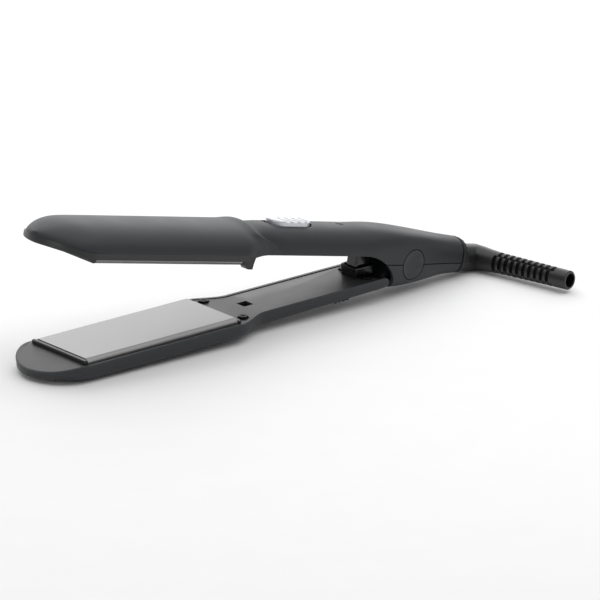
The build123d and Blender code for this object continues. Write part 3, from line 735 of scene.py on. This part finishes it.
def lower_stations(inset, floor, end):
    """Stations of the lower arm's form."""
    reach = NOSE_LENGTH - inset
    places = [NOSE_START - u * reach for u in (0.997, 0.98, 0.95, 0.9, 0.83, 0.74, 0.62, 0.48, 0.32,
                                               0.16, 0.0)]
    places += [NOSE_START + (SHOULDER[0] - NOSE_START) * k / 14 for k in range(1, 14)]
    places += [SHOULDER[0] + (SHOULDER[1] - SHOULDER[0]) * k / 16 for k in range(17)]
    places += [SHOULDER[1] + 3 + (end - SHOULDER[1] - 4) * k / 8 for k in range(9)]
    stations = []
    for x in places + [end]:
        stations.append((x, half_width(x, inset), COVER_TOP,
                         max(COVER_TOP - underside(x) - floor * nose_round(x, reach + 1.0), 0.4)))
    return stations


class FLATIRON_OT_lower_casing(bpy.types.Operator):
    """Model the tray-shaped lower casing with its hull-shaped nose and its knuckle"""
    bl_idname = "flat_iron.lower_casing"
    bl_label = "Lower Casing"

    def execute(self, context):
        wall = mm("flat_iron_arms", "wall")
        rim = COVER_TOP + RIM_LIP
        tray = draw_out("lower_casing_tray", lower_stations(0.0, 0.0, ARM_END), LOWER_POWER, 48)
        refine(tray, "SUBSURF", levels=1, render_levels=1)
        cavity = draw_out("tray_cavity", lower_stations(wall, 1.8, ARM_END - wall), LOWER_POWER,
                          48)
        refine(cavity, "SUBSURF", levels=1, render_levels=1)
        carve(tray, cavity)
        carve(tray, brick("above", (-150.0, -60.0, rim), (ARM_END + 20.0, 60.0, 40.0)))
        slope = [(x, rim - nose_lift(x)) for x in (NOSE_TIP - 3.0 + 2.0 * k for k in range(12))]
        carve(tray, outline_block("nose_slope", [(slope[0][0], 9.0)] + slope + [(slope[-1][0], 9.0)],
                                  (-33.0, 33.0), "Y"))
        corner = brick("corner", (ARM_END - 4.0, -30.0, rim - 4.0), (ARM_END + 2.0, 30.0, rim + 2.0))
        carve(corner, drum("rounding", (ARM_END - 4.0, 0.0, rim - 4.0), 4.0, 80.0, "Y", 64))
        carve(tray, corner)
        bevel_edges(tray, lambda a, b: min(a.z, b.z) > rim - 0.02 and max(a.x, b.x) < ARM_END - 4.1,
                    0.28, 2)
        neck = outline_block("neck", [(ARM_END - wall, -5.2), (HINGE_X, -4.8), (HINGE_X, 4.8),
                                      (ARM_END - wall, COVER_TOP - 2.4)], (-7.2, 7.2), "Y")
        carve(neck, drum("knuckle", (HINGE_X, 0.0, 0.0), 4.8, 14.4, "Y"), "UNION")
        carve(neck, drum("pin_hole", (HINGE_X, 0.0, 0.0), 2.06, 30.0, "Y"))
        carve(tray, neck, "UNION")
        low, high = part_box("lock_slider")
        carve(tray, brick("lock_slot", (low[0] / MM + 2.0, -4.05, -20.0),
                          (high[0] / MM - 2.0 + LOCK_TRAVEL, 4.05, -6.0)))
        settle(tray, "lower_arm", "casing", ["lower_casing"], False)
        return {"FINISHED"}


def rounded_brick(name, low, high, corner, edge=0.0):
    """A block with rounded upright corners and softened top and bottom edges."""
    body = brick(name, low, high)
    bevel_edges(body, lambda a, b: abs(a.z - b.z) > 0.5 * (high[2] - low[2]), corner, 5)
    if edge:
        bevel_edges(body, lambda a, b: abs(a.z - b.z) < 0.01
                    and min(abs(a.z - high[2]), abs(a.z - low[2])) < 0.01, edge, 3)
    return body


def turned_over(obj):
    """Mirrors a piece of the lower plate stack into the upper arm."""
    for vertex in obj.data.vertices:
        vertex.co.z = PLATE_GAP - vertex.co.z
    activate(obj)
    bpy.ops.object.mode_set(mode="EDIT")
    bpy.ops.mesh.select_all(action="SELECT")
    bpy.ops.mesh.flip_normals()
    bpy.ops.object.mode_set(mode="OBJECT")


class FLATIRON_OT_plates(bpy.types.Operator):
    """Model the two heated plates with their grooved, sloping working edges"""
    bl_idname = "flat_iron.plates"
    bl_label = "Plates"

    def execute(self, context):
        for node, body, opened in (("lower_plate", "lower_arm", False),
                                   ("upper_plate", "upper_arm", True)):
            half = PLATE_HALF
            side = [(half - 1.95, 0.0), (half - 1.85, -0.22), (half - 1.65, -0.1), (half - 0.4, -1.2),
                    (half - 0.32, -1.48), (half - 0.12, -1.36), (half, -1.5), (half, -2.3),
                    (half - 0.35, -3.0)]
            outline = side + [(-y, z) for y, z in reversed(side)]
            plate = outline_block(f"{node}_face", outline, (-PLATE_END, PLATE_END), "X")
            bevel_edges(plate, lambda a, b: abs(a.x - b.x) < 0.01 and abs(abs(a.x) - PLATE_END) < 0.01
                        and max(a.z, b.z) > -2.0, 0.3, 3)
            if opened:
                turned_over(plate)
            settle(plate, body, "plate", [node], opened, 30.0)
        return {"FINISHED"}


class FLATIRON_OT_carriers(bpy.types.Operator):
    """Model the dark frames that hold the plates, with the sloping deck in the nose"""
    bl_idname = "flat_iron.carriers"
    bl_label = "Plate Carriers"

    def execute(self, context):
        for node, body, opened in (("lower_plate_carrier", "lower_arm", False),
                                   ("upper_plate_carrier", "upper_arm", True)):
            overhang = NOSE_OVERHANG if opened else 0.0
            inset = 0.25 if opened else 0.4
            reach = NOSE_LENGTH + overhang - inset
            rear = PLATE_END + 1.9 if opened else -PLATE_END - 0.6
            top = -2.3 if opened else COVER_TOP + 0.55
            floor = -5.6
            places = [NOSE_START - u * reach for u in (0.998, 0.985, 0.96, 0.92, 0.86, 0.79, 0.7,
                                                       0.6, 0.48, 0.34, 0.17)] + [NOSE_START, rear]
            sides = [(x, (ARM_HALF - inset) * nose_round(x, reach) ** 1.12) for x in places]
            deck = outline_block(f"{node}_frame", [(x, -y) for x, y in sides]
                                 + [(x, y) for x, y in reversed(sides)], (floor, top))
            bevel_edges(deck, lambda a, b: min(a.z, b.z) > top - 0.01 and min(a.x, b.x) < rear - 0.01,
                        0.9 if opened else 0.5, 4)
            for vertex in deck.data.vertices:
                vertex.co.z -= nose_lift(vertex.co.x)
            carve(deck, rounded_brick("rim", (-PLATE_END - 0.6, -PLATE_HALF - 0.3, floor + 1.0),
                                      (PLATE_END + 0.9, PLATE_HALF + 0.3, -2.3), 0.8, 0.2), "UNION")
            carve(deck, brick("pocket", (-PLATE_END - 0.05, -PLATE_HALF - 0.05, -3.05),
                              (PLATE_END + 0.05, PLATE_HALF + 0.05, 5.0)))
            bar = rounded_brick("front_bar", (-PLATE_END - 2.3, -PLATE_HALF - 0.25, floor + 1.2),
                                (-PLATE_END - 0.12, PLATE_HALF + 0.25, -0.3), 0.7, 0.55)
            carve(deck, bar, "UNION")
            back = rounded_brick("rear_bar", (PLATE_END + 0.12, -PLATE_HALF - 0.6, floor + 1.2),
                                 (PLATE_END + 1.7, PLATE_HALF + 0.6, -1.0), 0.5, 0.3)
            carve(deck, back, "UNION")
            carve(deck, brick("window", (-33.0, -8.0, -20.0), (33.0, 8.0, -2.9)))
            if opened:
                turned_over(deck)
            settle(deck, body, "frame", [node], opened)
        return {"FINISHED"}


class FLATIRON_OT_guides(bpy.types.Operator):
    """Model the spring post, its socket and the locating peg"""
    bl_idname = "flat_iron.guides"
    bl_label = "Post, Socket and Peg"

    def execute(self, context):
        low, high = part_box("spring_socket")
        x0, x1, half = low[0] / MM, high[0] / MM, high[1] / MM
        bottom, top = low[2] / MM - MATING, high[2] / MM - MATING
        cup = rounded_brick("spring_socket_cup", (x0, -half, bottom), (x1, half, top - 0.9), 1.5)
        lip = rounded_brick("lip", (x0 - 0.35, -half - 0.35, top - 1.5), (x1 + 0.35, half + 0.35, top),
                            1.8, 0.35)
        carve(cup, lip, "UNION")
        carve(cup, rounded_brick("cup_hollow", (x0 + 1.2, -half + 1.2, bottom + 1.2),
                                 (x1 - 1.2, half - 1.2, top + 3.0), 0.9))
        settle(cup, "lower_arm", "gloss", ["spring_socket"], False)
        post = rounded_brick("spring_post_block", (x0 + 2.1, 1.6 - half, -4.0),
                             (x1 - 1.6, half - 1.6, 6.2), 1.3)
        carve(post, drum("spring_room", ((x0 + x1) / 2, 0.0, -3.0), 2.2, 4.0))
        settle(post, "upper_arm", "gloss", ["spring_post"], True)
        front, rear = PEG_HOLE + 0.5, PEG_HOLE + 5.1
        outline = [(front - 2.9, 5.4), (front - 2.9, 4.4), (front, -1.2), (front, -4.6),
                   (front + 1.2, -6.0), (rear - 0.5, -6.0), (rear, COVER_TOP), (rear + 1.8, 4.4),
                   (rear + 1.8, 5.4)]
        peg = outline_block("locating_peg_hook", outline, (-2.6, 2.6), "Y")
        bevel_edges(peg, lambda a, b: max(a.z, b.z) < 5.3, 0.35, 3)
        settle(peg, "upper_arm", "gloss", ["locating_peg"], True)
        return {"FINISHED"}


class FLATIRON_OT_lock(bpy.types.Operator):
    """Model the lock button under the lower grip"""
    bl_idname = "flat_iron.lock"
    bl_label = "Lock Button"

    def execute(self, context):
        low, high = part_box("lock_slider")
        x0, x1 = low[0] / MM + 1.0, high[0] / MM - 1.0
        bottom, top = low[2] / MM - MATING, high[2] / MM - MATING
        half = high[1] / MM
        thumb = rounded_brick("lock_button_thumb", (x0, -half, bottom + 0.75), (x1, half, bottom + 1.5),
                              2.0, 0.2)
        pitch = (x1 - x0) / 4
        for k in range(4):
            tooth = drum("tooth", (x0 + (k + 0.5) * pitch, 0.0, bottom + 0.1), 0.95, 2 * half - 1.6,
                         "Y", 24)
            bevel_edges(tooth, lambda a, b: abs(abs(a.y) - half + 0.8) < 0.01
                        and abs(a.y - b.y) < 0.01, 0.3, 2)
            carve(thumb, tooth, "UNION")
        carve(thumb, brick("neck", (x0 + 1.5, -3.6, bottom + 1.3), (x1 - 1.5, 3.6, top - 0.9)), "UNION")
        carve(thumb, rounded_brick("keeper", (x0 - 1.0, -5.8, top - 1.0), (x1 + 1.0, 5.8, top),
                                   0.8, 0.2), "UNION")
        settle(thumb, "lock_button", "frame", ["lock_slider"], False)
        return {"FINISHED"}


class FLATIRON_OT_inner_cover(bpy.types.Operator):
    """Model the lower grip's inner cover with its peg hole, socket window and lipped edge"""
    bl_idname = "flat_iron.inner_cover"
    bl_label = "Inner Cover"

    def execute(self, context):
        inset = mm("flat_iron_arms", "wall") + 0.2
        front = PLATE_END + 2.2
        rear = ARM_END - 5.8
        places = [front + (rear - front) * k / 40 for k in range(41)]
        outline = [(x, -half_width(x) + inset) for x in places]
        outline += [(x, half_width(x) - inset) for x in reversed(places)]
        cover = outline_block("lower_cover_panel", outline, (COVER_TOP - 1.8, COVER_TOP))
        bevel_edges(cover, lambda a, b: min(a.z, b.z) > COVER_TOP - 0.01, 0.45, 3)
        carve(cover, brick("peg_hole", (PEG_HOLE, -3.1, -9.0), (PEG_HOLE + 5.8, 3.1, 0.0)))
        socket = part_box("spring_socket")
        carve(cover, brick("window", (socket[0][0] / MM - 0.2, socket[0][1] / MM - 0.2, -9.0),
                           (socket[1][0] / MM + 0.2, socket[1][1] / MM + 0.2, 0.0)))
        for x, y in ((PLATE_END + 7.5, 14.8), (ARM_END - 9.7, 8.6)):
            for side in (-1, 1):
                carve(cover, drum("seat", (x, side * y, COVER_TOP + 0.5), 2.9, 2.0))
                carve(cover, drum("hole", (x, side * y, COVER_TOP), 1.3, 8.0))
        settle(cover, "lower_arm", "cover", ["lower_inner_cover"], False)
        return {"FINISHED"}


class FLATIRON_OT_switch(bpy.types.Operator):
    """Model the ribbed silver switch button"""
    bl_idname = "flat_iron.switch"
    bl_label = "Switch Button"

    def execute(self, context):
        front = SWITCH_FRONT
        rear = front + 24.5
        top = crown(front + 12.25) + 1.9
        button = slot_cutter("switch_button_cap", front, rear, 6.0, 11.6, top)
        bevel_edges(button, lambda a, b: min(a.z, b.z) > top - 0.01, 1.1, 5)
        for k in range(4):
            fresh()
            bpy.ops.mesh.primitive_torus_add(major_radius=9.0, minor_radius=1.75, major_segments=96,
                                             minor_segments=32,
                                             location=(front + 14.2 + 4.5 * k, 0.0, top + 0.75))
            groove = named("groove")
            bpy.ops.object.transform_apply(location=True, rotation=True, scale=True)
            carve(groove, brick("behind", (front + 9.5 + 4.5 * k, -30.0, 0.0),
                                (front + 60.0, 30.0, 40.0)))
            carve(button, groove)
        foot = brick("foot", (front + 1.0, -7.6, 11.4), (rear - 1.0, 7.6, 12.3))
        bevel_edges(foot, lambda a, b: abs(a.z - b.z) > 0.5, 1.5, 4)
        carve(button, foot, "UNION")
        settle(button, "switch_button", "silver", ["switch_slider"], True)
        return {"FINISHED"}


class FLATIRON_OT_hinge_caps(bpy.types.Operator):
    """Model the round caps over the hinge's ends, flush with the tail and slightly dished"""
    bl_idname = "flat_iron.hinge_caps"
    bl_label = "Hinge Caps"

    def execute(self, context):
        outer = upper_outer("cap_form")
        for side, node in ((-1, "hinge_cap_near"), (1, "hinge_cap_far")):
            cap = drum(f"{node}_disc", (HINGE_X, side * 15.6, 0.0), CAP_RADIUS, 8.0, "Y", 96)
            refine(cap, "BOOLEAN", object=outer, operation="INTERSECT", solver="EXACT")
            bevel_edges(cap, lambda a, b: min(hypot(a.x - HINGE_X, a.z), hypot(b.x - HINGE_X, b.z))
                        > CAP_RADIUS - 0.02 and min(abs(a.y), abs(b.y)) > 11.7 and abs(a.y - b.y) < 0.4,
                        0.22, 2)
            for vertex in cap.data.vertices:
                if abs(vertex.co.y) > 11.8:
                    away = hypot(vertex.co.x - HINGE_X, vertex.co.z) / CAP_RADIUS
                    vertex.co.y -= side * 0.3 * max(0.0, 1.0 - away * away)
            settle(cap, "upper_arm", "casing", [node], True)
        bpy.data.objects.remove(outer, do_unlink=True)
        return {"FINISHED"}


class FLATIRON_OT_collar(bpy.types.Operator):
    """Model the textured ring at the tail's rear end"""
    bl_idname = "flat_iron.collar"
    bl_label = "Cord Collar"

    def execute(self, context):
        axis_z = 0.8
        profile = [(0.45, 9.15, 2.4, 8.75), (0.7, 9.25, 2.4, 8.85), (1.2, 9.2, 2.35, 8.8),
                   (1.7, 9.15, 2.3, 8.7), (2.2, 9.05, 2.2, 8.6), (2.7, 8.95, 2.1, 8.45),
                   (3.0, 8.6, 2.05, 8.1), (3.3, 8.5, 2.0, 8.0),
                   (4.2, 8.0, 1.75, 7.4), (4.98, 7.3, 1.4, 6.7)]
        stations = [(TAIL_END + 0.02, 8.6, 2.4, 8.2)]
        stations += [(TAIL_END + x, y, middle, z) for x, y, middle, z in profile]
        ring = draw_out("cord_collar_ring", stations, 2.3, 144)
        for vertex in ring.data.vertices:
            x, y, z = vertex.co
            if TAIL_END + 0.6 < x < TAIL_END + 2.8:
                turn = atan2(z - 2.2, y)
                bump = 1.0 + 0.018 * sin(24 * turn) * sin((x - TAIL_END) * 4.0)
                vertex.co.y = y * bump
                vertex.co.z = 2.2 + (z - 2.2) * bump
        carve(ring, drum("stem_bore", (TAIL_END, 0.0, axis_z), 4.68, 40.0, "X"))
        settle(ring, "upper_arm", "knurl", ["cord_collar"], True, 50.0)
        return {"FINISHED"}


def relief_axis():
    """Elbow's centre, the relief's direction and the free end's distance, with the arms closed."""
    turn = radians(78.5)
    roll = radians(2.6)
    direction = Vector((cos(turn), -sin(turn) * cos(roll), sin(turn) * sin(roll)))
    return Vector((TAIL_END + 15.0, 0.0, 0.8)), direction, 58.7


def rounded_slot(x):
    """The cutter of one slot of the strain relief."""
    cutter = brick("slot", (x - 1.05, -3.9, 2.9), (x + 1.05, 3.9, 9.0))
    bevel_edges(cutter, lambda a, b: abs(a.z - b.z) > 1.0, 0.5, 2)
    return cutter


class FLATIRON_OT_cord_guard(bpy.types.Operator):
    """Model the rubber elbow and the slotted strain relief"""
    bl_idname = "flat_iron.cord_guard"
    bl_label = "Cord Guard"

    def execute(self, context):
        centre, direction, reach = relief_axis()
        elbow = mm("flat_iron_guard", "elbow")
        root = mm("flat_iron_guard", "root")
        tip = mm("flat_iron_guard", "tip")
        band = 8.0
        start = 15.0
        profile = [(0.0, elbow * 0.92), (3.0, elbow * 0.92), (6.0, elbow * 0.89), (10.0, elbow * 0.83),
                   (start, root + 0.05)]
        profile += [(start + (reach - start) * k / 8, root + (tip - root) * k / 8) for k in range(1, 8)]
        profile += [(reach - 0.5, tip), (reach, tip - 0.45)]
        stations = [(x, r, 0.0, r) for x, r in profile]
        sleeve = draw_out("cord_guard_relief", stations, 2.0, 64)
        slots = bpy.context.scene.flat_iron_guard.slots
        pitch = (reach - start - band) / slots
        for row in range(4):
            cutters = []
            shift = 0.25 if row % 2 else 0.75
            for k in range(slots):
                x = start + (k + shift) * pitch
                cutter = rounded_slot(x)
                activate(cutter)
                cutter.matrix_world = Matrix.Rotation(row * pi / 2, 4, "X")
                bpy.ops.object.transform_apply(location=True, rotation=True, scale=True)
                cutters.append(cutter)
            carve(sleeve, merge(*cutters))
        bore = mm("flat_iron_guard", "bore")
        carve(sleeve, drum("cord_bore", (reach, 0.0, 0.0), bore, 14.0, "X"))
        activate(sleeve)
        turn = direction.to_track_quat("X", "Z").to_matrix().to_4x4()
        sleeve.matrix_world = Matrix.Translation(centre + Vector((0.0, 0.0, 0.45))) @ turn
        bpy.ops.object.transform_apply(location=True, rotation=True, scale=True)
        front = TAIL_END + 5.35
        boss = drum("boss", ((front + centre.x) / 2, 0.0, centre.z), elbow, centre.x - front, "X", 64)
        bevel_edges(boss, lambda a, b: max(a.x, b.x) < front + 0.01, 0.5, 3)
        fresh()
        bpy.ops.mesh.primitive_uv_sphere_add(segments=64, ring_count=32, radius=elbow, location=centre)
        ball = named("ball")
        bpy.ops.object.transform_apply(location=True, rotation=True, scale=True)
        carve(ball, boss, "UNION")
        carve(sleeve, ball, "UNION")
        carve(sleeve, drum("stem_socket", (front - 1.0, 0.0, centre.z), 4.6, 9.3, "X"))
        settle(sleeve, "cord_guard", "rubber", ["cord_relief"], True, 40.0)
        return {"FINISHED"}


CAD_FINISHES = {
    "frame": ["switch_body", "swivel_stem"],
    "cover": ["upper_liner"],
    "ceramic": ["lower_heater", "upper_heater"],
    "steel": ["lower_heater_clamp", "upper_heater_clamp", "thermal_fuse", "opening_spring", "hinge_pin"],
    "brass": ["hinge_bush_near", "hinge_bush_far", "slip_contact", "slip_rings"],
    "screw": ["plate_screws", "rear_screws", "tail_screws"],
    "lead": ["lower_heater_leads", "upper_heater_leads"],
    "board": ["control_board"],
    "lens": ["indicator_lens"],
    "led": ["indicator_led"],
}


class FLATIRON_OT_frame_finishes(bpy.types.Operator):
    """Give every piece that stays as the frame has it its finish"""
    bl_idname = "flat_iron.frame_finishes"
    bl_label = "Frame Finishes"

    def execute(self, context):
        for finish, nodes in CAD_FINISHES.items():
            for node in nodes:
                paint(frame["nodes"][node], finish)
        return {"FINISHED"}


def softbox(name, place, aim, size, power):
    """A rectangular light that faces a point."""
    fresh()
    bpy.ops.object.light_add(type="AREA", location=place)
    lamp = bpy.context.object
    lamp.name = name
    lamp.data.shape = "RECTANGLE"
    lamp.data.size, lamp.data.size_y = size
    lamp.data.energy = power
    lamp.rotation_euler = (Vector(aim) - Vector(place)).to_track_quat("-Z", "Y").to_euler()
    return lamp


class FLATIRON_OT_stage(bpy.types.Operator):
    """Add the pale floor, the soft lights and the camera"""
    bl_idname = "flat_iron.stage"
    bl_label = "Stage"

    def execute(self, context):
        fresh()
        bpy.ops.mesh.primitive_plane_add(size=12.0, location=(0.05, 0.0, -0.0012))
        floor = named("studio_floor")
        floor.rotation_euler = (0.0, radians(1.17), 0.0)
        paper = Finish("studio_paper", Roughness=0.9)
        fibre = paper.noise(40.0, 4.0)
        paper.feed("Base Color", paper.tint(fibre, (0.9, 0.9, 0.9), (0.93, 0.93, 0.93)))
        paper.bump(paper.noise(600.0, 3.0), 0.05, 0.1)
        floor.data.materials.append(paper.material)
        aim = (0.06, 0.0, 0.03)
        softbox("overhead_softbox", (0.22, 0.05, 0.88), aim, (2.2, 1.3), 10.5)
        softbox("back_softbox", (0.85, 1.0, 0.42), aim, (2.0, 0.8), 9.0)
        softbox("left_softbox", (-0.95, -0.25, 0.3), aim, (0.5, 0.5), 1.2)
        world = bpy.data.worlds.new("studio")
        world.use_nodes = True
        background = next(n for n in world.node_tree.nodes if n.type == "BACKGROUND")
        background.inputs["Color"].default_value = (1.0, 1.0, 1.0, 1.0)
        background.inputs["Strength"].default_value = 0.4
        context.scene.world = world
        context.scene.view_settings.view_transform = "Standard"
        turn = radians(-39.9)
        lift = radians(19.1)
        back = Vector((sin(turn) * cos(lift), -cos(turn) * cos(lift), sin(lift)))
        centre = Vector((0.0617, -0.0459, 0.0245))
        lens = 400.0
        distance = 0.28275 * lens / 36.0
        bpy.ops.object.camera_add(location=centre + back * distance)
        camera = context.object
        camera.name = "photo_camera"
        camera.rotation_euler = back.to_track_quat("Z", "Y").to_euler()
        camera.data.lens = lens
        camera.data.sensor_width = 36.0
        camera.data.clip_end = 50.0
        context.scene.camera = camera
        return {"FINISHED"}


class FLATIRON_PT_panel(bpy.types.Panel):
    """Lists the pieces of the flat iron"""
    bl_idname = "FLATIRON_PT_panel"
    bl_label = "Flat Iron"
    bl_space_type = "VIEW_3D"
    bl_region_type = "UI"
    bl_category = "Flat Iron"

    def draw(self, context):
        for group in ("flat_iron_arms", "flat_iron_guard", "flat_iron_finish"):
            box = self.layout.box()
            settings = getattr(context.scene, group)
            for name in settings.__annotations__:
                box.prop(settings, name)
        for operator in OPERATORS:
            self.layout.operator(operator.bl_idname)


GROUPS = {"flat_iron_arms": ArmMeasures, "flat_iron_guard": GuardMeasures,
          "flat_iron_finish": FinishColours}
OPERATORS = (
    FLATIRON_OT_stage,
    FLATIRON_OT_frame_finishes,
    FLATIRON_OT_upper_arm,
    FLATIRON_OT_lower_casing,
    FLATIRON_OT_inner_cover,
    FLATIRON_OT_plates,
    FLATIRON_OT_carriers,
    FLATIRON_OT_guides,
    FLATIRON_OT_lock,
    FLATIRON_OT_switch,
    FLATIRON_OT_hinge_caps,
    FLATIRON_OT_collar,
    FLATIRON_OT_cord_guard,
)


def register():
    """Registers the properties, the operators and the panel."""
    for name, group in GROUPS.items():
        bpy.utils.register_class(group)
        setattr(bpy.types.Scene, name, bpy.props.PointerProperty(type=group))
    for operator in OPERATORS:
        bpy.utils.register_class(operator)
    bpy.utils.register_class(FLATIRON_PT_panel)


def unregister():
    """Removes what register added."""
    bpy.utils.unregister_class(FLATIRON_PT_panel)
    for operator in reversed(OPERATORS):
        bpy.utils.unregister_class(operator)
    for name, group in GROUPS.items():
        delattr(bpy.types.Scene, name)
        bpy.utils.unregister_class(group)


def main():
    """Builds everything."""
    register()
    FINISHES.update(make_finishes())
    bpy.ops.flat_iron.stage()
    bpy.ops.flat_iron.frame_finishes()
    bpy.ops.flat_iron.upper_arm()
    bpy.ops.flat_iron.lower_casing()
    bpy.ops.flat_iron.inner_cover()
    bpy.ops.flat_iron.plates()
    bpy.ops.flat_iron.carriers()
    bpy.ops.flat_iron.guides()
    bpy.ops.flat_iron.lock()
    bpy.ops.flat_iron.switch()
    bpy.ops.flat_iron.hinge_caps()
    bpy.ops.flat_iron.collar()
    bpy.ops.flat_iron.cord_guard()
    fresh()


if __name__ == "__main__":
    main()
